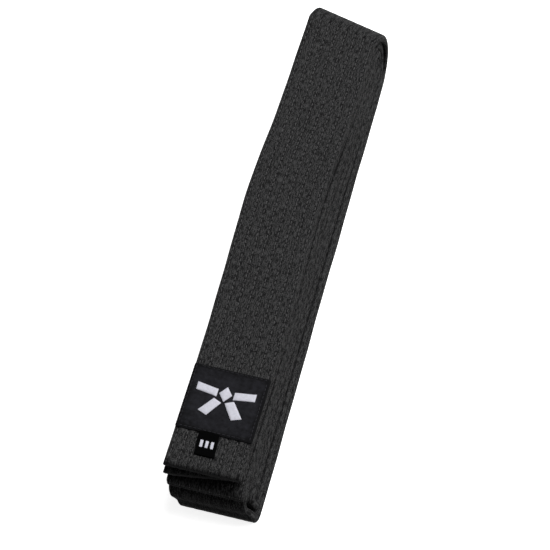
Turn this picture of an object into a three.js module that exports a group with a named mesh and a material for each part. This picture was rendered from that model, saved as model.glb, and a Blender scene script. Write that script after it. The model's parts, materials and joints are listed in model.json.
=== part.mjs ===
import * as THREE from 'three';

// Martial arts belt, folded in half three times into eight stacked runs.
// Row frame: X across the belt, Y along it (the tips are at -Y), Z up. Millimetres.

// Belt strap
const BELT_WIDTH = 42;
const BELT_THICKNESS = 4.4;
const EDGE_CHAMFER = 0.8;
const COVER_WALL = 0.95;
const PLY_COUNT = 3;
const PLY_GAP = 0.3;
const HEM_DEPTH = 6;

// Lengthwise stitching
const ROW_COUNT = 8;
const ROW_EDGE_MARGIN = 2.1;
const GROOVE_WIDTH = 2;
const GROOVE_DEPTH = 0.6;
const THREAD_FIT = 0.28;
const THREAD_RECESS = 0.05;
const ROW_START = 3;

// Folded bundle
const FOLDED_LENGTH = 350;
const RUN_GAP = 0.3;
const RUN_COUNT = 8;
const TIP_A_SET_BACK = 2;
const TIP_B_SET_BACK = 1;
const SMALL_FOLD_SET_BACK = 1.5;
const INNER_FOLD_SLACK = 3;
const FAN_NEAR = [0, 0.8, 2.5, 2.8, 3.3, 6, 8.6, 10.4];
const FAN_FAR = [0.5, 1, 2, 2.8, 3.5, 4.2, 5, 5.7];
const FAR_SKEW = 0.26;

// Hinge line across the top run
const HINGE_SET_BACK = 25;
const HINGE_GAP = 0.3;

// Label, its emblem and its stitching
const LAY_GAP = 0.25;
const LABEL_SIDE_MARGIN = 0.3;
const LABEL_LENGTH = 44;
const LABEL_THICKNESS = 0.6;
const LABEL_CORNER = 0.8;
const LABEL_FROM_TIP = 24;
const EMBLEM_HALF_WIDTH = 16;
const EMBLEM_RAISE = 3.2;
const BORDER_INSET = 1.3;
const BORDER_WIDTH = 0.5;
const TRIM_HEIGHT = 0.35;

// Size tag
const TAG_WIDTH = 11;
const TAG_LENGTH = 14;
const TAG_LAYER = 0.25;
const TAG_SLOT = 0.2;
const TAG_OFFSET = -3;
const TAG_MARK_COUNT = 3;
const TAG_MARK_WIDTH = 1.6;
const TAG_MARK_LENGTH = 4.4;
const TAG_MARK_PITCH = 2.9;

const PITCH = BELT_THICKNESS + RUN_GAP;
const STACK_HEIGHT = RUN_COUNT * PITCH - RUN_GAP;
const HALF_THICKNESS = BELT_THICKNESS / 2;
const HALF_WIDTH = BELT_WIDTH / 2;
const NEAR_Y = -FOLDED_LENGTH / 2;
const FAR_CENTRE = FOLDED_LENGTH / 2 - STACK_HEIGHT / 2;
const HINGE_Y = FAR_CENTRE - HINGE_SET_BACK;
const TIP_A_Y = NEAR_Y + TIP_A_SET_BACK;
const TIP_B_Y = NEAR_Y + TIP_B_SET_BACK;
const CAVITY_HALF = HALF_THICKNESS - COVER_WALL;
const CAVITY_HALF_WIDTH = HALF_WIDTH - COVER_WALL;
const LABEL_HALF_WIDTH = HALF_WIDTH - LABEL_SIDE_MARGIN;
const LABEL_Y = TIP_A_Y + LABEL_FROM_TIP + LABEL_LENGTH / 2;
const LABEL_TOP = STACK_HEIGHT + LAY_GAP + LABEL_THICKNESS;
const TAG_TOP_Y = TIP_A_Y + LABEL_FROM_TIP - HINGE_GAP;
const TAG_THICKNESS = 2 * TAG_LAYER + TAG_SLOT;

const FABRIC = 0x2e2e30;
const CORE = 0xb9b4a6;
const THREAD = 0x3a3a3d;
const LABEL = 0x24242b;
const WHITE = 0xe8e8ec;
const TAG = 0x121214;

// ---- the folded path -------------------------------------------------------

function runHeight(run) {
  return (RUN_COUNT - run) * PITCH + HALF_THICKNESS;
}

function facing(run) {
  return run % 2 === 1 ? 1 : -1;
}

function fanOffset(run, y) {
  const t = (y - NEAR_Y) / (FAR_CENTRE - NEAR_Y);
  const share = THREE.MathUtils.clamp(t, 0, 1);
  return THREE.MathUtils.lerp(FAN_NEAR[run - 1], FAN_FAR[run - 1], share);
}

// One station of the path: where the strap's centre is and which way its outer face looks.
function onRun(run, y) {
  return { x: fanOffset(run, y), y, z: runHeight(run), ny: 0, nz: facing(run) };
}

function fold(from, to, centreY, side, steps) {
  const radius = Math.abs(runHeight(from) - runHeight(to)) / 2;
  const middle = (runHeight(from) + runHeight(to)) / 2;
  const up = Math.sign(runHeight(from) - runHeight(to));
  const out = up * facing(from);
  const stations = [];
  for (let i = 0; i <= steps; i += 1) {
    const turn = (Math.PI * i) / steps;
    const ry = side * Math.sin(turn);
    const rz = up * Math.cos(turn);
    const x = THREE.MathUtils.lerp(fanOffset(from, centreY), fanOffset(to, centreY), i / steps);
    stations.push({ x, y: centreY + radius * ry, z: middle + radius * rz, ny: out * ry, nz: out * rz });
  }
  return stations;
}

function farFold(from, to, steps) {
  return fold(from, to, FAR_CENTRE, 1, steps);
}

function nearFold(from, to, setBack, steps) {
  const reach = Math.abs(runHeight(from) - runHeight(to)) / 2 + HALF_THICKNESS;
  return fold(from, to, NEAR_Y + setBack + reach, -1, steps);
}

function topRunPath(start, end) {
  return [onRun(1, start), onRun(1, end)];
}

function bundlePath(end) {
  return [
    onRun(1, HINGE_Y + HINGE_GAP / 2),
    ...farFold(1, 8, 10),
    onRun(8, HINGE_Y),
    ...nearFold(8, 5, 0, 8),
    onRun(5, HINGE_Y),
    ...farFold(5, 4, 4),
    onRun(4, HINGE_Y),
    ...nearFold(4, 3, SMALL_FOLD_SET_BACK, 4),
    onRun(3, HINGE_Y),
    ...farFold(3, 6, 8),
    onRun(6, HINGE_Y),
    ...nearFold(6, 7, PITCH + INNER_FOLD_SLACK, 4),
    onRun(7, HINGE_Y),
    ...farFold(7, 2, 8),
    onRun(2, HINGE_Y),
    onRun(2, end),
  ];
}

// The far fold lies slightly askew, so its left corner reaches further than its right one.
function skewed(x, y) {
  const share = THREE.MathUtils.clamp((y - HINGE_Y) / HINGE_SET_BACK, 0, 1);
  return y - FAR_SKEW * x * share;
}

// Sweeps a cross-section, drawn as (thickness, width), along the stations.
function sweep(shape, stations) {
  const steps = stations.length - 1;
  const geometry = new THREE.ExtrudeGeometry(shape, { depth: steps, steps, bevelEnabled: false });
  const position = geometry.attributes.position;
  for (let i = 0; i < position.count; i += 1) {
    const s = stations[Math.round(position.getZ(i))];
    const d = position.getX(i);
    const x = position.getY(i) + s.x;
    position.setXYZ(i, x, skewed(x, s.y + d * s.ny), s.z + d * s.nz);
  }
  geometry.computeVertexNormals();
  return geometry;
}

// ---- cross-sections --------------------------------------------------------

function outline(points) {
  return new THREE.Shape(points.map(([a, b]) => new THREE.Vector2(a, b)));
}

function rectangle(lowA, highA, lowB, highB) {
  return [[lowA, lowB], [highA, lowB], [highA, highB], [lowA, highB]];
}

function rowOffset(row) {
  const outer = HALF_WIDTH - ROW_EDGE_MARGIN;
  return THREE.MathUtils.lerp(-outer, outer, row / (ROW_COUNT - 1));
}

function groovedFace() {
  const points = [[HALF_THICKNESS - EDGE_CHAMFER, -HALF_WIDTH]];
  points.push([HALF_THICKNESS, -HALF_WIDTH + EDGE_CHAMFER]);
  for (let row = 0; row < ROW_COUNT; row += 1) {
    const u = rowOffset(row);
    points.push([HALF_THICKNESS, u - GROOVE_WIDTH / 2]);
    points.push([HALF_THICKNESS - GROOVE_DEPTH, u]);
    points.push([HALF_THICKNESS, u + GROOVE_WIDTH / 2]);
  }
  points.push([HALF_THICKNESS, HALF_WIDTH - EDGE_CHAMFER]);
  points.push([HALF_THICKNESS - EDGE_CHAMFER, HALF_WIDTH]);
  return points;
}

function coverSection() {
  const face = groovedFace();
  const back = face.map(([d, u]) => [-d, -u]);
  const shape = outline([...face, ...back]);
  const cavity = rectangle(-CAVITY_HALF, CAVITY_HALF, -CAVITY_HALF_WIDTH, CAVITY_HALF_WIDTH);
  shape.holes.push(outline(cavity));
  return shape;
}

function plySection(ply) {
  const thickness = (2 * CAVITY_HALF - (PLY_COUNT + 1) * PLY_GAP) / PLY_COUNT;
  const low = -CAVITY_HALF + PLY_GAP + ply * (thickness + PLY_GAP);
  const half = CAVITY_HALF_WIDTH - PLY_GAP;
  return outline(rectangle(low, low + thickness, -half, half));
}

function hemSection() {
  const d = CAVITY_HALF - PLY_GAP;
  const u = CAVITY_HALF_WIDTH - PLY_GAP;
  return outline(rectangle(-d, d, -u, u));
}

// A thread lies in its groove, THREAD_FIT clear of the groove's two walls.
function threadSection(row, face) {
  const slope = Math.atan2(GROOVE_DEPTH, GROOVE_WIDTH / 2);
  const deep = GROOVE_DEPTH - THREAD_FIT / Math.cos(slope);
  const half = (deep - THREAD_RECESS) / Math.tan(slope);
  const top = face * (HALF_THICKNESS - THREAD_RECESS);
  const u = rowOffset(row);
  return outline([[top, u - half], [face * (HALF_THICKNESS - deep), u], [top, u + half]]);
}

// ---- pieces ----------------------------------------------------------------

function mesh(name, geometry, color) {
  const material = new THREE.MeshStandardMaterial({ color, roughness: 0.9, metalness: 0 });
  const piece = new THREE.Mesh(geometry, material);
  piece.name = name;
  return piece;
}

// path(inset) gives the stations of this stretch of strap, kept clear of its tip by inset.
function strapPieces(prefix, path) {
  const pieces = [mesh(`${prefix}_cover`, sweep(coverSection(), path(0)), FABRIC)];
  for (let ply = 0; ply < PLY_COUNT; ply += 1) {
    const core = sweep(plySection(ply), path(HEM_DEPTH + PLY_GAP));
    pieces.push(mesh(`${prefix}_core_ply_${ply + 1}`, core, CORE));
  }
  for (let row = 0; row < ROW_COUNT; row += 1) {
    const needle = sweep(threadSection(row, 1), path(ROW_START));
    const bobbin = sweep(threadSection(row, -1), path(ROW_START));
    pieces.push(mesh(`${prefix}_needle_row_${row + 1}`, needle, THREAD));
    pieces.push(mesh(`${prefix}_bobbin_row_${row + 1}`, bobbin, THREAD));
  }
  return pieces;
}

function topRunPieces() {
  const hem = sweep(hemSection(), topRunPath(TIP_A_Y, TIP_A_Y + HEM_DEPTH));
  const path = (inset) => topRunPath(TIP_A_Y + inset, HINGE_Y - HINGE_GAP / 2);
  return [...strapPieces('top_run', path), mesh('top_run_tip_hem', hem, FABRIC)];
}

function bundlePieces() {
  const hem = sweep(hemSection(), [onRun(2, TIP_B_Y + HEM_DEPTH), onRun(2, TIP_B_Y)]);
  const path = (inset) => bundlePath(TIP_B_Y + inset);
  return [...strapPieces('bundle', path), mesh('bundle_tip_hem', hem, FABRIC)];
}

// A flat piece drawn in plan, laid with its underside at height z.
function laid(name, shape, z, height, color) {
  const geometry = new THREE.ExtrudeGeometry(shape, { depth: height, bevelEnabled: false });
  return mesh(name, geometry.translate(0, LABEL_Y, z), color);
}

function roundedPlan(halfX, halfY, corner) {
  const shape = new THREE.Shape();
  shape.moveTo(-halfX + corner, -halfY);
  shape.lineTo(halfX - corner, -halfY);
  shape.quadraticCurveTo(halfX, -halfY, halfX, -halfY + corner);
  shape.lineTo(halfX, halfY - corner);
  shape.quadraticCurveTo(halfX, halfY, halfX - corner, halfY);
  shape.lineTo(-halfX + corner, halfY);
  shape.quadraticCurveTo(-halfX, halfY, -halfX, halfY - corner);
  shape.lineTo(-halfX, -halfY + corner);
  shape.quadraticCurveTo(-halfX, -halfY, -halfX + corner, -halfY);
  return shape;
}

function labelPieces() {
  const halfY = LABEL_LENGTH / 2;
  const patch = roundedPlan(LABEL_HALF_WIDTH, halfY, LABEL_CORNER);
  const outerX = LABEL_HALF_WIDTH - BORDER_INSET;
  const outerY = halfY - BORDER_INSET;
  const border = roundedPlan(outerX, outerY, LABEL_CORNER);
  const inner = rectangle(
    -outerX + BORDER_WIDTH, outerX - BORDER_WIDTH, -outerY + BORDER_WIDTH, outerY - BORDER_WIDTH);
  border.holes.push(outline(inner));
  return [
    laid('label_patch', patch, STACK_HEIGHT + LAY_GAP, LABEL_THICKNESS, LABEL),
    laid('label_border_stitching', border, LABEL_TOP + LAY_GAP, TRIM_HEIGHT, THREAD),
    ...emblemPieces(),
  ];
}

// A plain knotted-belt motif: two ends of a waistband, a knot and two hanging tails.
function emblemPieces() {
  const reach = EMBLEM_HALF_WIDTH;
  const band = [[0.28, 0.3], [1, 0.42], [1, 0.1], [0.28, -0.02]];
  const tail = [[0.06, -0.24], [0.34, -0.1], [0.74, -0.72], [0.42, -0.86]];
  const knot = [[0, 0.46], [0.22, 0.14], [0, -0.18], [-0.22, 0.14]];
  const place = (side) => ([a, b]) => [side * a * reach, b * reach + EMBLEM_RAISE];
  const scaled = (points, side) => outline(points.map(place(side)));
  const piece = (name, points, side) =>
    laid(name, scaled(points, side), LABEL_TOP + LAY_GAP, TRIM_HEIGHT, WHITE);
  return [
    piece('emblem_band_left', band, -1),
    piece('emblem_band_right', band, 1),
    piece('emblem_knot', knot, 1),
    piece('emblem_tail_left', tail, -1),
    piece('emblem_tail_right', tail, 1),
  ];
}

// A woven ribbon folded double, open towards the label and closed at its free end.
function tagBody() {
  const low = STACK_HEIGHT + LAY_GAP;
  const high = low + TAG_THICKNESS;
  const far = TAG_TOP_Y;
  const near = far - TAG_LENGTH;
  const shape = outline([
    [far, low], [far, low + TAG_LAYER], [near + TAG_LAYER, low + TAG_LAYER],
    [near + TAG_LAYER, high - TAG_LAYER], [far, high - TAG_LAYER], [far, high], [near, high], [near, low],
  ]);
  const geometry = new THREE.ExtrudeGeometry(shape, { depth: TAG_WIDTH, bevelEnabled: false });
  const left = TAG_OFFSET - TAG_WIDTH / 2;
  const turn = new THREE.Matrix4().set(0, 0, 1, left, 1, 0, 0, 0, 0, 1, 0, 0, 0, 0, 0, 1);
  return mesh('size_tag', geometry.applyMatrix4(turn), TAG);
}

function tagMark(number) {
  const x = TAG_OFFSET + (number - (TAG_MARK_COUNT + 1) / 2) * TAG_MARK_PITCH;
  const z = STACK_HEIGHT + LAY_GAP + TAG_THICKNESS + LAY_GAP;
  const geometry = new THREE.BoxGeometry(TAG_MARK_WIDTH, TAG_MARK_LENGTH, TRIM_HEIGHT / 2);
  geometry.translate(x, TAG_TOP_Y - TAG_LENGTH / 2, z + TRIM_HEIGHT / 4);
  return mesh(`size_tag_mark_${number}`, geometry, WHITE);
}

// ---- assembly --------------------------------------------------------------

function centredAtBase(pieces) {
  const box = new THREE.Box3();
  pieces.forEach((piece) => box.union(new THREE.Box3().setFromObject(piece)));
  const centre = box.getCenter(new THREE.Vector3());
  pieces.forEach((piece) => piece.geometry.translate(-centre.x, -centre.y, -box.min.z));
  return pieces;
}

function belt() {
  const pieces = [...bundlePieces(), ...topRunPieces(), ...labelPieces(), tagBody()];
  for (let number = 1; number <= TAG_MARK_COUNT; number += 1) {
    pieces.push(tagMark(number));
  }
  const group = new THREE.Group();
  group.name = 'martial_arts_belt';
  group.add(...centredAtBase(pieces));
  return group;
}

export default belt();
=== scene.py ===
import json
import math

import bpy
import numpy as np
from bpy.props import FloatProperty, FloatVectorProperty, IntProperty, PointerProperty
from mathutils import Matrix, Vector


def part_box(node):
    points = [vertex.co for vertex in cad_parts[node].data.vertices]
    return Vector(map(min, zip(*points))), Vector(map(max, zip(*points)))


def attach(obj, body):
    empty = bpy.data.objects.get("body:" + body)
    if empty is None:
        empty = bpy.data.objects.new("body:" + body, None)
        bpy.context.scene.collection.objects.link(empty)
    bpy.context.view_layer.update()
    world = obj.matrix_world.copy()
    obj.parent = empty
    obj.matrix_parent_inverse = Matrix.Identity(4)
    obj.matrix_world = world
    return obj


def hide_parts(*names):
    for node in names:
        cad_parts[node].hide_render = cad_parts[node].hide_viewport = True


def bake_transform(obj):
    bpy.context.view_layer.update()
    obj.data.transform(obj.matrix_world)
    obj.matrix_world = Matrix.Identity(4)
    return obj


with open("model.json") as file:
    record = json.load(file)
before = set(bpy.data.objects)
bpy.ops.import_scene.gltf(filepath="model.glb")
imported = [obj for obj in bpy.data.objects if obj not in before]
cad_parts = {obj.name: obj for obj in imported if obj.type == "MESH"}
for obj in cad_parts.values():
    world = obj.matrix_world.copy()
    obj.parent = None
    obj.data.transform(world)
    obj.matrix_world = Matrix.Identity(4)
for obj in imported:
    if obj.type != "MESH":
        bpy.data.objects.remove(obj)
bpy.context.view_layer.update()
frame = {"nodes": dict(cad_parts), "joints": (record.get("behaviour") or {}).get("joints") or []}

bl_info = {
    "name": "Folded Martial Arts Belt",
    "version": (1, 0, 0),
    "blender": (4, 5, 0),
    "location": "View3D > Sidebar > Belt",
    "description": "Models a quilted martial arts belt, folded into a flat stack, on its packed frame",
    "category": "Object",
}

MM = 0.001
RUNS = 8


def low(node):
    return Vector(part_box(node)[0])


def high(node):
    return Vector(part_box(node)[1])


def joint(name):
    return next(j for j in frame["joints"] if j["name"] == name)


LABEL_LOW, LABEL_HIGH = low("label_patch"), high("label_patch")

# The folded stack, as the frame has it.
STACK_TOP = high("top_run_cover").z
THICKNESS = STACK_TOP - low("top_run_cover").z
PITCH = (STACK_TOP - THICKNESS) / (RUNS - 1)
WIDTH = 42 * MM
HINGE = Vector(joint("top_run_lift")["pos_m"])
TAG_HINGE = Vector(joint("size_tag_flip")["pos_m"])
NEAR_Y = low("bundle_cover").y
FAR_TURN = 25 * MM
FAR_CENTRE = HINGE.y + FAR_TURN
TIP_A = low("top_run_cover").y
TIP_B = low("bundle_tip_hem").y
TOP_X = (LABEL_LOW.x + LABEL_HIGH.x) / 2

# How far to the right each run lies, from the top run down: at its near end and at its far end,
# with a bow to the left that is centred at BOW_PLACE of its length, and a slight spread.
FAN_NEAR = np.array([0, 0.8, 2.5, 2.8, 3.3, 6, 8.6, 10.4]) * MM
FAN_FAR = np.array([0.5, 1, 2, 2.8, 3.5, 4.2, 5, 5.7]) * MM
BOW = np.array([-2.9, -2.9, -2.4, -1.8, -1.2, -0.6, 0, 0.3]) * MM
BOW_PLACE, BOW_REACH = 0.60, 0.18
SPREAD = np.array([0, 0, 0.2, 0.3, 0.6, 0.9, 1.2, 1.4]) * MM
FAR_SPREAD = 0.6
FAR_SKEW = 0.26

# The folds at the near end: their flattened shape, and the creases pressed into them.
SMALL_FOLD_SET_BACK = 0.3 * MM
INNER_FOLD_SLACK = 2.2 * MM
SQUARE_BELOW, SQUARE_ABOVE = 0.73, 0.52
CREASE_HEIGHT = 0.10
BIG_CREASE, SMALL_CREASE, INNER_CREASE = (0.50, 0.7 * MM), (0.5, 0.6 * MM), (0.5, 0)
SIDE_STEP, SIDE_STEP_HEIGHT = 0.35, 0.16
NEAR_REACH = 34 * MM
SMALL_FOLD_PRESS, TIP_B_PRESS = 3.0 * MM, 0.9 * MM
PRESS_FROM, PRESS_HEIGHT = 17 * MM, 10 * MM
SMALL_FOLD_TOP, TIP_B_TOP = 28.05 * MM, 32.75 * MM
TIP_SLANT, TIP_SLANT_LENGTH = 7 * MM, 14 * MM


# ---- settings ---------------------------------------------------------------


class StrapSettings(bpy.types.PropertyGroup):
    """Sizes and colours of the quilted strap"""

    channel_depth: FloatProperty(
        name="Channel depth", description="How deep the rows of stitching pull the cover in",
        default=0.42 * MM, unit="LENGTH", precision=5)
    row_margin: FloatProperty(
        name="Row margin", description="From the strap's edge to its outermost row of stitching",
        default=2.1 * MM, unit="LENGTH", precision=5)
    rows: IntProperty(name="Rows", description="Lengthwise rows of stitching", default=8, min=2)
    # The dark yarn colour is partly painted shade in the weave's hollows, and the light yarn colour is
    # partly a painted highlight on its crowns; in between, the yarn's tone varies at random.
    dark: FloatVectorProperty(
        name="Dark yarn", description="Colour in the hollows of the weave", subtype="COLOR",
        default=(0.0055, 0.0055, 0.0058))
    light: FloatVectorProperty(
        name="Light yarn", description="Colour on the crowns of the weave", subtype="COLOR",
        default=(0.046, 0.046, 0.0465))


class StitchSettings(bpy.types.PropertyGroup):
    """Sizes and colour of the lengthwise stitching"""

    pitch: FloatProperty(
        name="Stitch pitch", description="From one stitch to the next along a row",
        default=3.4 * MM, unit="LENGTH", precision=5)
    length: FloatProperty(
        name="Stitch length", description="Visible length of one stitch",
        default=2.7 * MM, unit="LENGTH", precision=5)
    radius: FloatProperty(
        name="Thread radius", description="Half the thread's thickness",
        default=0.27 * MM, unit="LENGTH", precision=5)
    colour: FloatVectorProperty(
        name="Thread colour", description="Colour of the sewing thread", subtype="COLOR",
        default=(0.066, 0.066, 0.067))


class LabelSettings(bpy.types.PropertyGroup):
    """Colours of the label, its motif and the size tag"""

    ground: FloatVectorProperty(
        name="Label ground", description="Colour of the woven label", subtype="COLOR",
        default=(0.0105, 0.0105, 0.0130))
    white: FloatVectorProperty(
        name="Embroidery", description="Colour of the embroidery thread", subtype="COLOR",
        default=(0.72, 0.72, 0.80))
    tag: FloatVectorProperty(
        name="Tag ribbon", description="Colour of the size tag", subtype="COLOR",
        default=(0.0006, 0.0006, 0.0007))


class StageSettings(bpy.types.PropertyGroup):
    """The camera's view"""

    azimuth: FloatProperty(
        name="Azimuth", description="Direction the camera looks from", subtype="ANGLE",
        default=math.radians(8.5))
    elevation: FloatProperty(
        name="Elevation", description="Camera's height above the horizon", subtype="ANGLE",
        default=math.radians(50.45))
    roll: FloatProperty(
        name="Roll", description="Turn of the picture about its middle", subtype="ANGLE",
        default=math.radians(6.475))
    distance: FloatProperty(
        name="Distance", description="From the camera to the middle of the belt",
        default=2.118, unit="LENGTH")
    lens: FloatProperty(
        name="Lens", description="Focal length on a 36 mm wide sensor", default=249.0)


# ---- the folded path ---------------------------------------------------------


def run_height(run):
    return (RUNS - run) * PITCH + THICKNESS / 2


def facing(run):
    return 1.0 if run % 2 else -1.0


def fan(run, y):
    share = np.clip((np.asarray(y) - NEAR_Y) / (FAR_CENTRE - NEAR_Y), 0, 1)
    line = FAN_NEAR[run - 1] * (1 - share) + FAN_FAR[run - 1] * share
    bow = BOW[run - 1] * np.exp(-(((share - BOW_PLACE) / BOW_REACH) ** 2))
    return TOP_X + line + bow + SPREAD[run - 1] * (1 + FAR_SPREAD * share ** 8)


def along_run(run, start, end, step=2 * MM):
    count = max(2, int(abs(end - start) / step) + 1)
    y = np.linspace(start, end, count)
    one = np.ones(count)
    return np.stack([fan(run, y), y, one * run_height(run), one * 0, one * facing(run)], 1)


def round_fold(start, end, centre_y, side, count=24, crease=None, early=1):
    """A half turn from one run to another; a crease is (its level, its depth) in a flattened fold.

    The larger early is, the sooner in the turn the strap moves sideways to the other run."""
    a, b = run_height(start), run_height(end)
    radius, middle, up = abs(a - b) / 2, (a + b) / 2, math.copysign(1, a - b)
    turn = np.linspace(0, math.pi, count + 1)[1:-1]
    ry, rz = side * np.sin(turn), up * np.cos(turn)
    share = 1 - (1 - turn / math.pi) ** early
    pinch = 0.0
    ny, nz = ry, rz
    if crease:
        square = np.where(rz < 0, SQUARE_BELOW, SQUARE_ABOVE)
        ry, rz = side * np.abs(ry) ** square, np.sign(rz) * np.abs(rz) ** square
        ny, nz = side * np.abs(ry) ** (2 / square - 1), np.sign(rz) * np.abs(rz) ** (2 / square - 1)
        level = 0.5 + 0.5 * rz
        pinch = crease[1] * np.exp(-(((level - crease[0]) / CREASE_HEIGHT) ** 2))
        step = np.clip((level - crease[0]) / SIDE_STEP_HEIGHT + 0.5, 0, 1)
        share = (1 - SIDE_STEP) * level + SIDE_STEP * step
        share = share if a < b else 1 - share
    long = np.hypot(ny, nz) * up * facing(start)
    x = fan(start, centre_y) * (1 - share) + fan(end, centre_y) * share
    y = centre_y + (radius - pinch) * ry
    return np.stack([x, y, middle + radius * rz, ny / long, nz / long], 1)


def near_centre(start, end, set_back):
    return NEAR_Y + set_back + abs(run_height(start) - run_height(end)) / 2 + THICKNESS / 2


class FoldedPath:
    """The strap's centre line from the labelled tip to the other tip, folded into its eight runs"""

    def __init__(self):
        far = FAR_CENTRE
        near_85 = near_centre(8, 5, 0)
        near_43 = near_centre(4, 3, SMALL_FOLD_SET_BACK)
        near_67 = near_centre(6, 7, PITCH + INNER_FOLD_SLACK)
        legs = [
            along_run(1, TIP_A, far), round_fold(1, 8, far, 1, 48, early=2),
            along_run(8, far, near_85), round_fold(8, 5, near_85, -1, 48, BIG_CREASE),
            along_run(5, near_85, far), round_fold(5, 4, far, 1),
            along_run(4, far, near_43), round_fold(4, 3, near_43, -1, 28, SMALL_CREASE),
            along_run(3, near_43, far), round_fold(3, 6, far, 1, 32),
            along_run(6, far, near_67), round_fold(6, 7, near_67, -1, 28, INNER_CREASE),
            along_run(7, near_67, far), round_fold(7, 2, far, 1, 40),
            along_run(2, far, TIP_B),
        ]
        stations = np.concatenate(legs)
        steps = np.linalg.norm(np.diff(stations[:, :3], axis=0), axis=1)
        self.lengths = np.concatenate([[0], np.cumsum(steps)])
        self.stations = stations
        starts = np.cumsum([len(leg) for leg in legs])[:-1]
        self.leg_starts = np.concatenate([[0], self.lengths[starts]])
        self.turning = np.concatenate([np.full(len(leg), float(k % 2)) for k, leg in enumerate(legs)])
        self.seam = self.leg_starts[2]
        self.total = self.lengths[-1]

    def place(self, s, u, d):
        """The point at length s along the strap, u across it and d out of its middle layer."""
        x, y, z, ny, nz = (np.interp(s, self.lengths, column) for column in self.stations.T)
        y = y + self.tip_slant(s, u)
        return settled(x + u + drift(s), y + d * ny, z + d * nz)

    def tightness(self, s):
        """1 where the strap is bent round a fold, 0 along its straight runs."""
        return np.interp(s, self.lengths, self.turning)

    def tip_slant(self, s, u):
        """The hidden tip isn't cut square: its right corner stops short, under the top run."""
        left = np.clip((self.total - s) / TIP_SLANT_LENGTH, 0, 1)
        share = (1 - left) ** 2 * np.clip(u / WIDTH + 0.35, 0, 1)
        return TIP_SLANT * share * (s > self.leg_starts[-1])


def drift(s):
    """The strap never lies quite straight: a slow sideways wander, in metres."""
    wave = np.sin(s * 31 + 0.7) + 0.6 * np.sin(s * 73 + 2.1) + 0.35 * np.sin(s * 167 + 4.0)
    return 0.16 * MM * wave


def settled(x, y, z):
    """The far fold lies askew, so its left corner reaches further, and the near end is pressed flatter."""
    share = np.clip((y - HINGE.y) / FAR_TURN, 0, 1)
    share = share * share * (3 - 2 * share)
    y = y - FAR_SKEW * (x - TOP_X) * share
    z = z - slump(y, z)
    return np.stack(np.broadcast_arrays(x, y, z), -1)


def slump(y, z):
    """At the near end the small fold is pressed flatter, so a gap opens above it."""
    near = np.clip(1 - (y - NEAR_Y) / NEAR_REACH, 0, 1)
    near = near * near * (3 - 2 * near)
    pressed = SMALL_FOLD_PRESS * np.clip((z - PRESS_FROM) / PRESS_HEIGHT, 0, 1)
    depth = np.where(z < SMALL_FOLD_TOP, pressed, TIP_B_PRESS)
    return near * np.where(z < TIP_B_TOP, depth, 0)


# ---- the quilted strap ---------------------------------------------------------

# A tip is rounded off over this length, and a fold stretches the quilting flat by this share.
END_LENGTH = 1.3 * MM
FOLD_STRETCH = 0.8


def row_offsets(strap):
    outer = WIDTH / 2 - strap.row_margin
    return np.linspace(-outer, outer, strap.rows)


def section(strap):
    """Points across the strap: their offsets, how full the quilting is there, and the edge's roundness."""
    rows = row_offsets(strap)
    channel = np.array([0, 0.07, 0.2, 0.38, 0.62, 0.8, 0.93])
    offsets, fullness = [], []
    for left, right in zip(rows[:-1], rows[1:]):
        offsets += list(left + (right - left) * channel)
        fullness += list((1 - np.abs(2 * channel - 1) ** 2.4))
    offsets.append(rows[-1])
    fullness.append(0.0)
    half = WIDTH / 2
    margin = half - rows[-1]
    edge = np.array([0.14, 0.35, 0.6, 0.8, 0.93, 0.985, 1.0])
    puff = np.array([0.45, 0.62, 0.5, 0.3, 0.1, 0.0, 0.0])
    round_off = np.array([1, 1, 0.93, 0.77, 0.52, 0.27, 0.0])
    offsets = list(-(rows[-1] + edge * margin))[::-1] + offsets + list(rows[-1] + edge * margin)
    fullness = list(puff)[::-1] + fullness + list(puff)
    roundness = list(round_off)[::-1] + [1] * (len(offsets) - 14) + list(round_off)
    return np.array(offsets), np.array(fullness), np.array(roundness)


def ring_stack(path, strap, lengths, pitch, closed_start, closed_end):
    """Positions of the strap's skin, one ring for each of the lengths, with each point's own s and u."""
    u, full, rounded = section(strap)
    half = THICKNESS / 2
    s = lengths[:, None]
    pucker = 0.16 * (0.5 - 0.5 * np.cos(2 * np.pi * s / pitch)) * (1 - full) * (rounded == 1)
    plump = 1 + 0.10 * np.sin(s * 410 + u * 900) * np.sin(s * 150 - u * 300)
    channel = strap.channel_depth * (1 - FOLD_STRETCH * path.tightness(s))
    depth = half - channel * (1 - full * plump) - channel * pucker
    depth = np.minimum(depth, half) * rounded
    for closed, end in ((closed_start, lengths[0]), (closed_end, lengths[-1])):
        if closed:
            near = np.clip(np.abs(s - end) / END_LENGTH, 0, 1)
            depth = depth * (0.45 + 0.55 * np.sqrt(1 - (1 - near) ** 2))
    count = len(u)
    back = np.arange(count - 2, 0, -1)
    across = np.concatenate([u, u[back]])
    out = np.concatenate([depth, -depth[:, back]], 1)
    girth = np.concatenate([u, WIDTH * 2 - u[back] + 5 * MM])
    s_all = np.broadcast_to(s, out.shape)
    points = path.place(s_all, np.broadcast_to(across, out.shape), out)
    return points, s_all, np.broadcast_to(girth, out.shape), count


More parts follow.
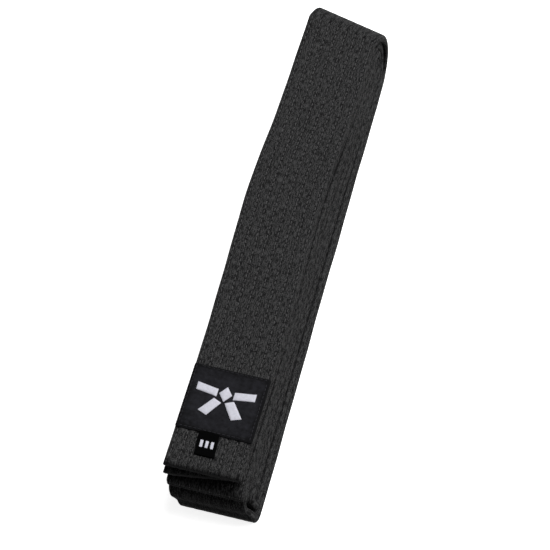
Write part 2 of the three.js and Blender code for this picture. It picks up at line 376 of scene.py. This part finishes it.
def strap_mesh(name, path, strap, pitch, lengths, closed_start, closed_end):
    points, s, girth, count = ring_stack(path, strap, lengths, pitch, closed_start, closed_end)
    rings, around = points.shape[:2]
    index = np.arange(rings * around).reshape(rings, around)
    after = np.roll(index, -1, axis=1)
    quads = np.stack([index[:-1], after[:-1], after[1:], index[1:]], -1).reshape(-1, 4).tolist()
    for ring, flip in ((index[0], True), (index[-1], False)):
        for k in range(count - 1):
            front, back = ring[k], ring[k + 1]
            other = [ring[(around - k - 1) % around], ring[(around - k) % around]]
            corners = [front, back] + [c for c in other if c not in (front, back)]
            quads.append(corners[::-1] if flip else corners)
    mesh = bpy.data.meshes.new(name)
    mesh.from_pydata(points.reshape(-1, 3).tolist(), [], quads)
    lay = mesh.uv_layers.new(name="Strap")
    corner = np.empty(len(mesh.loops), int)
    mesh.loops.foreach_get("vertex_index", corner)
    flat = np.stack([girth.reshape(-1)[corner], s.reshape(-1)[corner]], -1)
    lay.data.foreach_set("uv", flat.astype(np.float32).reshape(-1))
    mesh.validate()
    return finished(name, mesh)


def finished(name, mesh):
    """A new object at the origin that holds the mesh, smooth shaded."""
    piece = bpy.data.objects.new(name, mesh)
    bpy.context.scene.collection.objects.link(piece)
    mesh.polygons.foreach_set("use_smooth", [True] * len(mesh.polygons))
    mesh.update()
    return piece


def spaced(start, end, step):
    return np.linspace(start, end, max(2, int(round((end - start) / step)) + 1))


def lengths_between(path, first, last, steps):
    """Ring lengths over the path's legs first..last, each leg with its own step."""
    parts = []
    for leg, step in zip(range(first, last + 1), steps):
        start = path.leg_starts[leg]
        end = path.leg_starts[leg + 1] if leg + 1 < len(path.leg_starts) else path.total
        parts.append(spaced(start, end, step)[:-1])
    parts.append([end])
    return np.concatenate(parts)


# ---- materials -----------------------------------------------------------------


class Wire:
    """A socket of a material's nodes that can be used in sums"""

    def __init__(self, finish, socket):
        self.finish = finish
        self.socket = socket

    def _sum(self, operation, first, second):
        return self.finish.node("ShaderNodeMath", {"operation": operation}, {0: first, 1: second})

    def __add__(self, other):
        return self._sum("ADD", self, other)

    def __radd__(self, other):
        return self._sum("ADD", other, self)

    def __sub__(self, other):
        return self._sum("SUBTRACT", self, other)

    def __rsub__(self, other):
        return self._sum("SUBTRACT", other, self)

    def __mul__(self, other):
        return self._sum("MULTIPLY", self, other)

    def __rmul__(self, other):
        return self._sum("MULTIPLY", other, self)

    def __pow__(self, other):
        return self._sum("POWER", self, other)


class Finish:
    """A material with a Principled shader, built up node by node"""

    def __init__(self, name, roughness, specular=0.1):
        self.material = bpy.data.materials.new(name)
        self.material.use_nodes = True
        self.tree = self.material.node_tree
        self.shader = self.tree.nodes["Principled BSDF"]
        self.shader.inputs["Roughness"].default_value = roughness
        self.shader.inputs["Specular IOR Level"].default_value = specular

    def node(self, kind, settings, sockets, output=0):
        node = self.tree.nodes.new(kind)
        for key, value in settings.items():
            setattr(node, key, value)
        for key, value in sockets.items():
            self.feed(node.inputs[key], value)
        return Wire(self, node.outputs[output])

    def feed(self, socket, value):
        if isinstance(value, Wire):
            self.tree.links.new(value.socket, socket)
        else:
            socket.default_value = value

    def sine(self, value):
        return self.node("ShaderNodeMath", {"operation": "SINE"}, {0: value})

    def place(self, scale, uv=True):
        """The piece's own UV map, or its Object coordinates, scaled."""
        output = 2 if uv else 3
        source = self.node("ShaderNodeTexCoord", {}, {}, output)
        return self.node("ShaderNodeMapping", {}, {"Vector": source, "Scale": scale})

    def split(self, vector):
        across = self.node("ShaderNodeSeparateXYZ", {}, {"Vector": vector}, 0)
        node = across.socket.node
        return across, Wire(self, node.outputs[1])

    def noise(self, vector, scale, detail=2.0, rough=0.5):
        return self.node(
            "ShaderNodeTexNoise", {},
            {"Vector": vector, "Scale": scale, "Detail": detail, "Roughness": rough})

    def between(self, factor, dark, light):
        """Blends two colours by a number from 0 to 1."""
        return self.node(
            "ShaderNodeMix", {"data_type": "RGBA", "clamp_factor": True},
            {0: factor, 6: (*dark, 1), 7: (*light, 1)}, 2)

    def bump(self, height, distance, strength=1.0):
        return self.node(
            "ShaderNodeBump", {}, {"Height": height, "Distance": distance, "Strength": strength})

    def colour(self, value):
        self.feed(self.shader.inputs["Base Color"], value)

    def normal(self, value):
        self.feed(self.shader.inputs["Normal"], value)

    def roughness(self, value):
        self.feed(self.shader.inputs["Roughness"], value)


def canvas_finish(strap):
    """Black cotton canvas: a fine weave with slubs along the strap, lighter on its raised yarn partly as a
    painted highlight, and darker along the sewn channels with painted shade.
    """
    finish = Finish("black_canvas", 0.9, specular=0.08)
    across, along = finish.split(finish.place((1, 1, 1)))
    yarn = 2 * math.pi / (0.62 * MM)
    weave = finish.sine(across * yarn) * finish.sine(along * yarn)
    slubs = finish.noise(finish.place((1 / (0.44 * MM), 1 / (3.6 * MM), 1)), 1.0, 0.6, 0.5)
    specks = finish.noise(finish.place((1 / (0.44 * MM), 1 / (0.72 * MM), 1)), 1.0, 0.4, 0.5)
    broad = finish.noise(finish.place((1 / (9 * MM), 1 / (30 * MM), 1)), 1.0, 2.0, 0.5)
    # Painted shade: the colour is darkened in a narrow band along each row of stitching, where the sewn
    # channel sinks in.
    spacing = (WIDTH - 2 * strap.row_margin) / (strap.rows - 1)
    turn = (across + (WIDTH / 2 - strap.row_margin)) * (2 * math.pi / spacing) + math.pi / 2
    channel = (finish.sine(turn) * 0.5 + 0.5) ** 7.0
    # The tone follows the same slub, speck and weave noise as the bump, so the raised yarn gets a painted
    # highlight and the hollows get painted shade; the broad noise is the cloth's own uneven tone.
    tone = (slubs - 0.5) * 5.0 + (specks - 0.5) * 4.8 + weave * 0.12 + (broad - 0.5) * 0.5
    finish.colour(finish.between(tone + 0.47 - channel * 0.75, strap.dark, strap.light))
    finish.roughness(0.93 - specks * 0.16)
    height = weave * 0.30 + specks * 0.75 + slubs * 0.45
    finish.normal(finish.bump(height, 0.16 * MM, 0.75))
    return finish.material


def thread_finish(name, colour, shine=0.6):
    """Twisted sewing thread."""
    finish = Finish(name, shine, specular=0.15)
    fuzz = finish.noise(finish.place((1, 1, 1), uv=False), 900.0, 2.0, 0.6)
    dark = tuple(c * 0.55 for c in colour)
    light = tuple(min(1, c * 1.4) for c in colour)
    finish.colour(finish.between(fuzz * 1.6 - 0.3, dark, light))
    finish.normal(finish.bump(fuzz, 0.1 * MM, 0.5))
    return finish.material


def label_finish(label):
    """A fine satin weave with the faintest ribs, and darker in a narrow band all round its edge."""
    finish = Finish("label_satin", 0.75, specular=0.07)
    a, b = LABEL_LOW, LABEL_HIGH
    across, along = finish.split(finish.place((1, 1, 1), uv=False))
    rib = finish.sine(along * (2 * math.pi / (0.42 * MM)))
    fill = finish.sine(across * (2 * math.pi / (0.55 * MM)) + along * (2 * math.pi / (0.84 * MM)))
    mottle = finish.noise(finish.place((1, 1, 1), uv=False), 420.0, 3.0, 0.6)
    patchy = finish.noise(finish.place((1, 1, 1), uv=False), 130.0, 2.0, 0.5)
    # The colour is darkened in a narrow band all round the label's edge.
    rim = 0.0
    for position, start, end in ((across, a.x, b.x), (along, a.y, b.y)):
        share = (position - (start + end) / 2) * (2 / (end - start))
        rim = share ** 14.0 + rim
    dark = tuple(c * 0.25 for c in label.ground)
    light = tuple(c * 1.65 for c in label.ground)
    tone = (mottle - 0.5) * 1.3 + (patchy - 0.5) * 1.1 + rib * 0.1 + fill * 0.07 + 0.5
    finish.colour(finish.between(tone - rim * 1.3, dark, light))
    finish.roughness(0.80 - mottle * 0.18)
    finish.normal(finish.bump(rib * 0.6 + fill * 0.4 + mottle * 0.6, 0.07 * MM, 0.6))
    return finish.material


def embroidery_finish(label):
    """Satin-stitched thread, with fine ridges across each bar."""
    finish = Finish("embroidery", 0.5, specular=0.3)
    across, along = finish.split(finish.place((1, 1, 1), uv=False))
    thread = finish.sine(across * (2 * math.pi / (0.5 * MM)) + along * (2 * math.pi / (1.1 * MM)))
    fuzz = finish.noise(finish.place((1, 1, 1), uv=False), 700.0, 2.0, 0.6)
    dark = tuple(c * 0.62 for c in label.white)
    finish.colour(finish.between(thread * 0.22 + fuzz * 0.9 + 0.25, dark, label.white))
    finish.normal(finish.bump(thread + fuzz * 0.8, 0.12 * MM, 0.7))
    return finish.material


def ribbon_finish(label):
    """The size tag's tight black ribbon."""
    finish = Finish("tag_ribbon", 0.8, specular=0.02)
    across, along = finish.split(finish.place((1, 1, 1), uv=False))
    rib = finish.sine(along * (2 * math.pi / (0.35 * MM)))
    mottle = finish.noise(finish.place((1, 1, 1), uv=False), 600.0, 2.0, 0.6)
    light = tuple(c * 2.2 for c in label.tag)
    finish.colour(finish.between(mottle + rib * 0.15, label.tag, light))
    finish.normal(finish.bump(rib + mottle * 0.5, 0.05 * MM, 0.5))
    return finish.material


def floor_finish():
    finish = Finish("pale_floor", 0.9, specular=0.1)
    finish.shader.inputs["Emission Color"].default_value = (1, 1, 1, 1)
    finish.shader.inputs["Emission Strength"].default_value = FLOOR_GLOW
    soft = finish.noise(finish.place((1, 1, 1), uv=False), 2.0, 2.0)
    finish.colour(finish.between(soft, (0.84, 0.84, 0.845), (0.86, 0.86, 0.86)))
    return finish.material


# ---- modelling helpers ---------------------------------------------------------


def clear_selection():
    if bpy.context.object and bpy.context.object.mode != "OBJECT":
        bpy.ops.object.mode_set(mode="OBJECT")
    bpy.ops.object.select_all(action="DESELECT")


def active_piece(name):
    piece = bpy.context.object
    piece.name = piece.data.name = name
    return piece


def apply_place(piece):
    clear_selection()
    piece.select_set(True)
    bpy.context.view_layer.objects.active = piece
    bpy.ops.object.transform_apply(location=True, rotation=True, scale=True)


def apply_modifiers(piece):
    bpy.context.view_layer.objects.active = piece
    for modifier in list(piece.modifiers):
        bpy.ops.object.modifier_apply(modifier=modifier.name)


def smooth(piece, degrees=50):
    clear_selection()
    piece.select_set(True)
    bpy.context.view_layer.objects.active = piece
    bpy.ops.object.shade_smooth_by_angle(angle=math.radians(degrees))


def dress(piece, material, slot, body, *nodes):
    """Gives a piece its material, hides the CAD nodes it stands for and hangs it on the body it rides on.
    The slot argument is not used.
    """
    piece.data.materials.clear()
    piece.data.materials.append(material)
    if nodes:
        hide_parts(*nodes)
    if body:
        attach(piece, body)
    return piece


def bend_at_hinge(piece):
    """Bakes the piece's placement into its mesh."""
    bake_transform(piece)


def strap_nodes(prefix, *kinds):
    names = [n for n in frame["nodes"] if n.startswith(prefix)]
    return [n for n in names if any(kind in n for kind in kinds)]


# ---- the strap -----------------------------------------------------------------


# From one ring of the strap's skin to the next, in each leg of its path: short where it shows or bends.
UPPER_STEP = 1.15 * MM
LOWER_STEPS = [v * MM for v in (3.5, 1.1, 6, 0.9, 6, 0.9, 6, 1.3, 6, 0.9, 6, 1.6, 2.6)]


class BELT_OT_strap(bpy.types.Operator):
    """Model the quilted strap as two lengths of cloth that meet under the far fold"""

    bl_idname = "belt.strap"
    bl_label = "Strap"

    def execute(self, context):
        strap, pitch = context.scene.belt_strap, context.scene.belt_stitches.pitch
        path = FoldedPath()
        canvas = canvas_finish(strap)
        upper_lengths = lengths_between(path, 0, 1, [UPPER_STEP] * 2)
        upper = strap_mesh("upper_strap", path, strap, pitch, upper_lengths, True, False)
        dress(upper, canvas, "black_cover_cloth", None,
              *strap_nodes("top_run", "cover", "ply", "hem"))
        lower_lengths = lengths_between(path, 2, 14, LOWER_STEPS)
        lower = strap_mesh("lower_strap", path, strap, pitch, lower_lengths, False, True)
        dress(lower, canvas, "black_cover_cloth", "bundle",
              *strap_nodes("bundle", "cover", "ply", "hem"))
        bend_at_hinge(upper)
        return {"FINISHED"}


def one_stitch(stitch):
    """One stitch along +Y: plump in the middle, its ends diving into the cloth."""
    clear_selection()
    bpy.ops.mesh.primitive_uv_sphere_add(segments=6, ring_count=6, radius=1)
    seed = active_piece("stitch_seed")
    bpy.ops.object.mode_set(mode="EDIT")
    bpy.ops.mesh.select_all(action="SELECT")
    bpy.ops.transform.rotate(
        value=math.pi / 2, orient_axis="X", center_override=(0, 0, 0))
    size = (stitch.radius, stitch.length / 2, stitch.radius * 0.8)
    bpy.ops.transform.resize(value=size)
    bpy.ops.object.mode_set(mode="OBJECT")
    points = np.array([v.co for v in seed.data.vertices])
    along = points[:, 1] / (stitch.length / 2)
    fuller = (1 - along ** 4) ** 0.5 / np.maximum((1 - along ** 2) ** 0.5, 1e-3)
    points[:, 0] *= np.minimum(fuller, 1.5)
    points[:, 2] *= np.minimum(fuller, 1.5)
    points[:, 2] -= 0.34 * MM * along ** 4
    faces = [list(p.vertices) for p in seed.data.polygons]
    bpy.data.objects.remove(seed)
    return points, faces


def repeated(faces, count, size):
    """The faces of count copies of a shape that has size points."""
    return [[i + copy * size for i in ids] for copy in range(count) for ids in faces]


def stitch_mesh(name, path, strap, stitch, stretches):
    """Copies the stitch along every row; a stretch is (first length, last length, which face)."""
    seed, faces = one_stitch(stitch)
    half = THICKNESS / 2 - strap.channel_depth + 0.10 * MM
    points = []
    for row, u in enumerate(row_offsets(strap)):
        for first, last, face in stretches:
            begin = (math.ceil(first / stitch.pitch) + 0.5) * stitch.pitch
            s = np.arange(begin, last, stitch.pitch)
            offset = u + 0.07 * MM * np.sin(s * 1900 + row * 2.3)
            ahead = unit(path.place(s + 0.5 * MM, offset, face * half)
                         - path.place(s - 0.5 * MM, offset, face * half))
            middle = path.place(s, offset, face * half)
            up = unit(middle - path.place(s, offset, 0))
            aside = unit(np.cross(ahead, up))
            turned = ahead + 0.05 * np.sin(s * 2700 + row)[:, None] * aside
            axes = np.stack([aside, turned, up], 1)
            points.append((middle[:, None] + seed @ axes).reshape(-1, 3))
    points = np.concatenate(points)
    mesh = bpy.data.meshes.new(name)
    mesh.from_pydata(points.tolist(), [], repeated(faces, len(points) // len(seed), len(seed)))
    mesh.validate()
    return finished(name, mesh)


def unit(vectors):
    return vectors / np.linalg.norm(vectors, axis=-1, keepdims=True)


# Where the rows stop short of a tip or of the seam, and how far they go on past a fold.
ROW_END, PAST_FOLD = 3 * MM, 16 * MM


class BELT_OT_stitching(bpy.types.Operator):
    """Lay the lengthwise rows of stitches in the strap's channels"""

    bl_idname = "belt.stitching"
    bl_label = "Stitching"

    def execute(self, context):
        strap, stitch = context.scene.belt_strap, context.scene.belt_stitches
        path = FoldedPath()
        thread = thread_finish("black_thread", tuple(stitch.colour))
        upper = stitch_mesh("upper_stitching", path, strap, stitch, [
            (ROW_END, path.seam - ROW_END, 1), (ROW_END, path.leg_starts[1], -1)])
        dress(upper, thread, "black_thread", None, *strap_nodes("top_run", "row"))
        bend_at_hinge(upper)
        lower = stitch_mesh("lower_stitching", path, strap, stitch, [
            (path.seam + ROW_END, path.leg_starts[4] + PAST_FOLD, 1),
            (path.leg_starts[7] - PAST_FOLD, path.leg_starts[8] + PAST_FOLD, 1),
            (path.leg_starts[14], path.total - ROW_END, -1)])
        dress(lower, thread, "black_thread", "bundle", *strap_nodes("bundle", "row"))
        return {"FINISHED"}


# ---- label, motif and tag --------------------------------------------------------

LABEL_EXTRA, LABEL_SHIFT, LABEL_SINK = 0.6 * MM, 0.2 * MM, 0.18 * MM
LABEL_THICKNESS, LABEL_CORNER = 0.62 * MM, 0.9 * MM
BORDER_INSET, BORDER_PITCH, BORDER_SINK = 1.3 * MM, 2.6 * MM, 0.1 * MM
LABEL_THREAD = (0.016, 0.016, 0.020)
SATIN_HEIGHT, SATIN_SINK, SATIN_ROUND, SATIN_ROOT = 0.42 * MM, 0.12 * MM, 1.1 * MM, 0.25 * MM
RIBBON_LAYER, RIBBON_TUCK, RIBBON_DIP = 0.22 * MM, 2 * MM, 0.35 * MM
MARK_HEIGHT, MARK_BEVEL = 0.3 * MM, 0.13 * MM
TAG_SHIFT, TAG_TURN, TAG_STRETCH = 1.1 * MM, 0.045, 0.05


def rounded_panel(name, centre, size, corner, thickness, cuts):
    """A flat woven panel: a grid with rounded corners, given thickness and softened edges."""
    clear_selection()
    bpy.ops.mesh.primitive_grid_add(
        x_subdivisions=cuts[0], y_subdivisions=cuts[1], size=1, location=(0, 0, 0))
    panel = active_piece(name)
    bpy.ops.object.mode_set(mode="EDIT")
    bpy.ops.transform.resize(value=(size[0], size[1], 1))
    bpy.ops.object.mode_set(mode="OBJECT")
    for vertex in panel.data.vertices:
        pull_corner(vertex, size, corner)
        vertex.co += Vector(centre)
    solid = panel.modifiers.new("Thickness", "SOLIDIFY")
    solid.thickness, solid.offset = thickness, 1
    bevel = panel.modifiers.new("Soft edge", "BEVEL")
    bevel.width, bevel.segments, bevel.limit_method = thickness * 0.42, 3, "ANGLE"
    apply_modifiers(panel)
    return panel


def pull_corner(vertex, size, corner):
    """Draws a point near a panel's corner in, so that the corner is round."""
    dx = abs(vertex.co.x) - (size[0] / 2 - corner)
    dy = abs(vertex.co.y) - (size[1] / 2 - corner)
    if dx > 0 and dy > 0:
        reach = math.hypot(dx, dy)
        shrink = max(dx, dy) / reach
        vertex.co.x -= math.copysign(dx * (1 - shrink), vertex.co.x)
        vertex.co.y -= math.copysign(dy * (1 - shrink), vertex.co.y)


def label_lift(x, y):
    """How the label rides over the quilting below it: a slight swell and a pulled-down border."""
    a, b = LABEL_LOW, LABEL_HIGH
    inside = min(x - a.x, b.x - x, y - a.y, b.y - y)
    pull = max(0.0, 1 - inside / (2.2 * MM))
    swell = math.sin((x - a.x) * 610) * math.sin((y - a.y) * 290 + 1) * 0.06 * MM
    return swell - 0.22 * MM * pull * pull


class BELT_OT_label(bpy.types.Operator):
    """Make the woven label and the stitches that hold its border"""

    bl_idname = "belt.label"
    bl_label = "Label"

    def execute(self, context):
        label, stitch = context.scene.belt_label, context.scene.belt_stitches
        a, b = LABEL_LOW, LABEL_HIGH
        size = (b.x - a.x + LABEL_EXTRA, b.y - a.y)
        centre = ((a.x + b.x) / 2 + LABEL_SHIFT, (a.y + b.y) / 2, a.z - LABEL_SINK)
        patch = rounded_panel("label", centre, size, LABEL_CORNER, LABEL_THICKNESS, (56, 60))
        for vertex in patch.data.vertices:
            vertex.co.z += label_lift(vertex.co.x, vertex.co.y)
        smooth(patch)
        dress(patch, label_finish(label), "label_weave", "top_run", "label_patch")
        thread = thread_finish("label_thread", LABEL_THREAD)
        border = self.border(stitch, a, b)
        dress(border, thread, "black_thread", "top_run", "label_border_stitching")
        return {"FINISHED"}

    def border(self, stitch, a, b):
        seed, faces = one_stitch(stitch)
        seed = seed * (0.9, 0.82, 0.9)
        x0, x1 = a.x + BORDER_INSET, b.x - BORDER_INSET
        y0, y1 = a.y + BORDER_INSET, b.y - BORDER_INSET
        sides = [((x0, y0), (x1, y0)), ((x1, y0), (x1, y1)), ((x1, y1), (x0, y1)), ((x0, y1), (x0, y0))]
        points, polygons = [], []
        for start, end in sides:
            start, end = np.array(start), np.array(end)
            length = np.linalg.norm(end - start)
            ahead = (end - start) / length
            aside = np.array([ahead[1], -ahead[0]])
            for step in range(int(length / BORDER_PITCH)):
                spot = start + ahead * BORDER_PITCH * (step + 0.5)
                z = b.z - BORDER_SINK + label_lift(*spot)
                axes = np.array([[*aside, 0], [*ahead, 0], [0, 0, 1]])
                polygons += [[i + len(points) * len(seed) for i in ids] for ids in faces]
                points.append(np.array([*spot, z]) + seed @ axes)
        mesh = bpy.data.meshes.new("label_border_stitches")
        mesh.from_pydata(np.concatenate(points).tolist(), [], polygons)
        return finished("label_border_stitches", mesh)


def outline_of(node):
    """A motif bar's four corners in plan, in order round it."""
    spots = {(round(v.co.x, 6), round(v.co.y, 6)) for v in frame["nodes"][node].data.vertices}
    middle = np.mean(list(spots), axis=0)
    return sorted(spots, key=lambda p: math.atan2(p[1] - middle[1], p[0] - middle[0]))


def satin_bar(name, corners, base, height):
    """A bar of satin stitching: a plane cut to its outline, raised and crowned across."""
    clear_selection()
    bpy.ops.mesh.primitive_plane_add(size=1, location=(0, 0, 0))
    bar = active_piece(name)
    order = [0, 1, 3, 2]
    for vertex, corner in zip([bar.data.vertices[i] for i in order], corners):
        vertex.co = (*corner, base)
    bpy.ops.object.mode_set(mode="EDIT")
    bpy.ops.mesh.select_all(action="SELECT")
    bpy.ops.mesh.normals_make_consistent(inside=False)
    bpy.ops.mesh.subdivide(number_cuts=14)
    bpy.ops.object.mode_set(mode="OBJECT")
    edges = list(zip(corners, corners[1:] + corners[:1]))
    for vertex in bar.data.vertices:
        spot = np.array(vertex.co[:2])
        inside = min(distance_to(spot, np.array(p), np.array(q)) for p, q in edges)
        crown = min(1.0, inside / SATIN_ROUND)
        vertex.co.z += height * math.sqrt(max(0.0, 1 - (1 - crown) ** 2))
        vertex.co.z += label_lift(*spot)
    solid = bar.modifiers.new("Root", "SOLIDIFY")
    solid.thickness, solid.offset = SATIN_ROOT, -1
    apply_modifiers(bar)
    smooth(bar)
    return bar


def distance_to(spot, p, q):
    along = (q - p) / np.linalg.norm(q - p)
    return abs(np.cross(along, spot - p))


class BELT_OT_motif(bpy.types.Operator):
    """Embroider the plain knotted-belt motif on the label"""

    bl_idname = "belt.motif"
    bl_label = "Motif"

    def execute(self, context):
        thread = embroidery_finish(context.scene.belt_label)
        base = LABEL_HIGH.z - SATIN_SINK
        for node in [n for n in frame["nodes"] if n.startswith("emblem_")]:
            name = "satin_" + node.removeprefix("emblem_")
            bar = satin_bar(name, outline_of(node), base, SATIN_HEIGHT)
            dress(bar, thread, "white_thread", "top_run", node)
        return {"FINISHED"}


class BELT_OT_size_tag(bpy.types.Operator):
    """Make the folded size tag under the label's edge, with its plain woven marks"""

    bl_idname = "belt.size_tag"
    bl_label = "Size tag"

    def execute(self, context):
        label = context.scene.belt_label
        a, b = low("size_tag"), high("size_tag")
        ribbon = self.ribbon(a, b)
        dress(ribbon, ribbon_finish(label), "tag_ribbon", None, "size_tag")
        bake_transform(ribbon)
        thread = embroidery_finish(label)
        for node in [n for n in frame["nodes"] if n.startswith("size_tag_mark")]:
            mark = self.mark(node, low(node), high(node), b.z)
            dress(mark, thread, "white_thread", "size_tag", node)
        return {"FINISHED"}

    def lay_askew(self, piece):
        """The tag is sewn in a little to the right and a few degrees off square."""
        for vertex in piece.data.vertices:
            below = TAG_HINGE.y - vertex.co.y
            vertex.co.x += TAG_SHIFT + TAG_TURN * below
            vertex.co.y -= TAG_STRETCH * max(0.0, below)

    def ribbon(self, a, b):
        """The ribbon's side view, a narrow hairpin, drawn as points and given its width."""
        layer, height = RIBBON_LAYER, b.z - a.z - 0.1 * MM
        tail = b.y + RIBBON_TUCK
        turn = np.linspace(-math.pi / 2, -1.5 * math.pi, 9)
        reach = height / 2
        line = [(y, a.z + layer / 2) for y in np.linspace(tail, a.y + reach, 12)]
        middle = (a.y + reach, a.z + layer / 2 + reach - layer / 2)
        bend = reach - layer / 2
        line += [(middle[0] + bend * math.cos(t), middle[1] + bend * math.sin(t)) for t in turn[1:-1]]
        line += [(y, a.z + height - layer / 2) for y in np.linspace(a.y + reach, tail, 12)]
        clear_selection()
        bpy.ops.mesh.primitive_grid_add(
            x_subdivisions=10, y_subdivisions=len(line) - 1, size=1, location=(0, 0, 0))
        ribbon = active_piece("size_tag_ribbon")
        for vertex in ribbon.data.vertices:
            step = int(round((vertex.co.y + 0.5) * (len(line) - 1)))
            x = (a.x + b.x) / 2 + vertex.co.x * (b.x - a.x)
            y, z = line[step]
            under = max(0.0, y - TAG_HINGE.y)
            vertex.co = (x, y, z - min(RIBBON_DIP, under * 0.3))
        solid = ribbon.modifiers.new("Cloth", "SOLIDIFY")
        solid.thickness, solid.offset = layer, 0
        apply_modifiers(ribbon)
        smooth(ribbon)
        self.lay_askew(ribbon)
        return ribbon

    def mark(self, node, a, b, surface):
        clear_selection()
        bpy.ops.mesh.primitive_cube_add(size=1, location=(a + b) / 2)
        mark = active_piece(node.replace("size_tag_mark", "woven_mark"))
        mark.location.z = surface
        mark.scale = (b.x - a.x, b.y - a.y, MARK_HEIGHT)
        apply_place(mark)
        bevel = mark.modifiers.new("Soft", "BEVEL")
        bevel.width, bevel.segments = MARK_BEVEL, 3
        apply_modifiers(mark)
        smooth(mark)
        self.lay_askew(mark)
        return mark


# ---- stage ----------------------------------------------------------------------

FLOOR_RADIUS, FLOOR_GLOW = 6, 0.85
KEY_LIGHT = ((0.4, 0.9, 2.3), 1.6, 72)
FILL_LIGHT = ((2.3, 0.35, 1.5), 1.2, 22)
SKY_STRENGTH = 0.09
CAMERA_TARGET = Vector((-3.8 * MM, -5.5 * MM, 0))


class BELT_OT_stage(bpy.types.Operator):
    """Set the pale floor, the soft light and the camera"""

    bl_idname = "belt.stage"
    bl_label = "Stage"

    def execute(self, context):
        stage = context.scene.belt_stage
        clear_selection()
        bpy.ops.mesh.primitive_circle_add(
            vertices=96, radius=FLOOR_RADIUS, fill_type="NGON", location=(0, 0, 0))
        floor = active_piece("pale_floor")
        floor.data.materials.append(floor_finish())
        floor.visible_diffuse = False
        self.soft_box("key", *KEY_LIGHT)
        self.soft_box("fill", *FILL_LIGHT)
        self.world(context.scene)
        self.camera(context.scene, stage)
        context.scene.view_settings.view_transform = "Standard"
        return {"FINISHED"}

    def soft_box(self, name, location, size, power):
        bpy.ops.object.light_add(type="AREA", location=location)
        lamp = bpy.context.object
        lamp.name = name
        lamp.data.size, lamp.data.energy = size, power
        lamp.rotation_euler = (-Vector(location)).to_track_quat("-Z", "Y").to_euler()

    def world(self, scene):
        world = scene.world or bpy.data.worlds.new("Studio")
        scene.world = world
        world.use_nodes = True
        background = world.node_tree.nodes["Background"]
        background.inputs["Color"].default_value = (1, 1, 1, 1)
        background.inputs["Strength"].default_value = SKY_STRENGTH

    def camera(self, scene, stage):
        a, e, r = stage.azimuth, stage.elevation, stage.roll
        back = Vector((math.sin(a) * math.cos(e), -math.cos(a) * math.cos(e), math.sin(e)))
        side = Vector((math.cos(a), math.sin(a), 0))
        over = back.cross(side)
        right = side * math.cos(r) + over * math.sin(r)
        upward = over * math.cos(r) - side * math.sin(r)
        eye = CAMERA_TARGET + back * stage.distance
        camera = bpy.data.objects.new("camera", bpy.data.cameras.new("camera"))
        scene.collection.objects.link(camera)
        turn = Matrix((right, upward, back)).transposed().to_4x4()
        camera.matrix_world = Matrix.Translation(eye) @ turn
        camera.data.lens, camera.data.sensor_width = stage.lens, 36
        camera.data.clip_start, camera.data.clip_end = 0.05, 50
        scene.camera = camera


# ---- panel and registration ------------------------------------------------------

STEPS = (BELT_OT_stage, BELT_OT_strap, BELT_OT_stitching, BELT_OT_label, BELT_OT_motif, BELT_OT_size_tag)


class BELT_PT_panel(bpy.types.Panel):
    """Lists the belt's steps and its settings"""

    bl_label = "Martial Arts Belt"
    bl_idname = "BELT_PT_panel"
    bl_space_type = "VIEW_3D"
    bl_region_type = "UI"
    bl_category = "Belt"

    def draw(self, context):
        for step in STEPS:
            self.layout.operator(step.bl_idname)
        for group in (context.scene.belt_strap, context.scene.belt_stitches,
                      context.scene.belt_label, context.scene.belt_stage):
            for name in group.bl_rna.properties.keys()[2:]:
                self.layout.prop(group, name)


GROUPS = {
    "belt_strap": StrapSettings,
    "belt_stitches": StitchSettings,
    "belt_label": LabelSettings,
    "belt_stage": StageSettings,
}


def register():
    for group in GROUPS.values():
        bpy.utils.register_class(group)
    for step in STEPS + (BELT_PT_panel,):
        bpy.utils.register_class(step)
    for name, group in GROUPS.items():
        setattr(bpy.types.Scene, name, PointerProperty(type=group))


def unregister():
    for name in GROUPS:
        delattr(bpy.types.Scene, name)
    for step in reversed(STEPS + (BELT_PT_panel,)):
        bpy.utils.unregister_class(step)
    for group in GROUPS.values():
        bpy.utils.unregister_class(group)


def main():
    register()
    bpy.ops.belt.stage()
    bpy.ops.belt.strap()
    bpy.ops.belt.stitching()
    bpy.ops.belt.label()
    bpy.ops.belt.motif()
    bpy.ops.belt.size_tag()


if __name__ == "__main__":
    main()
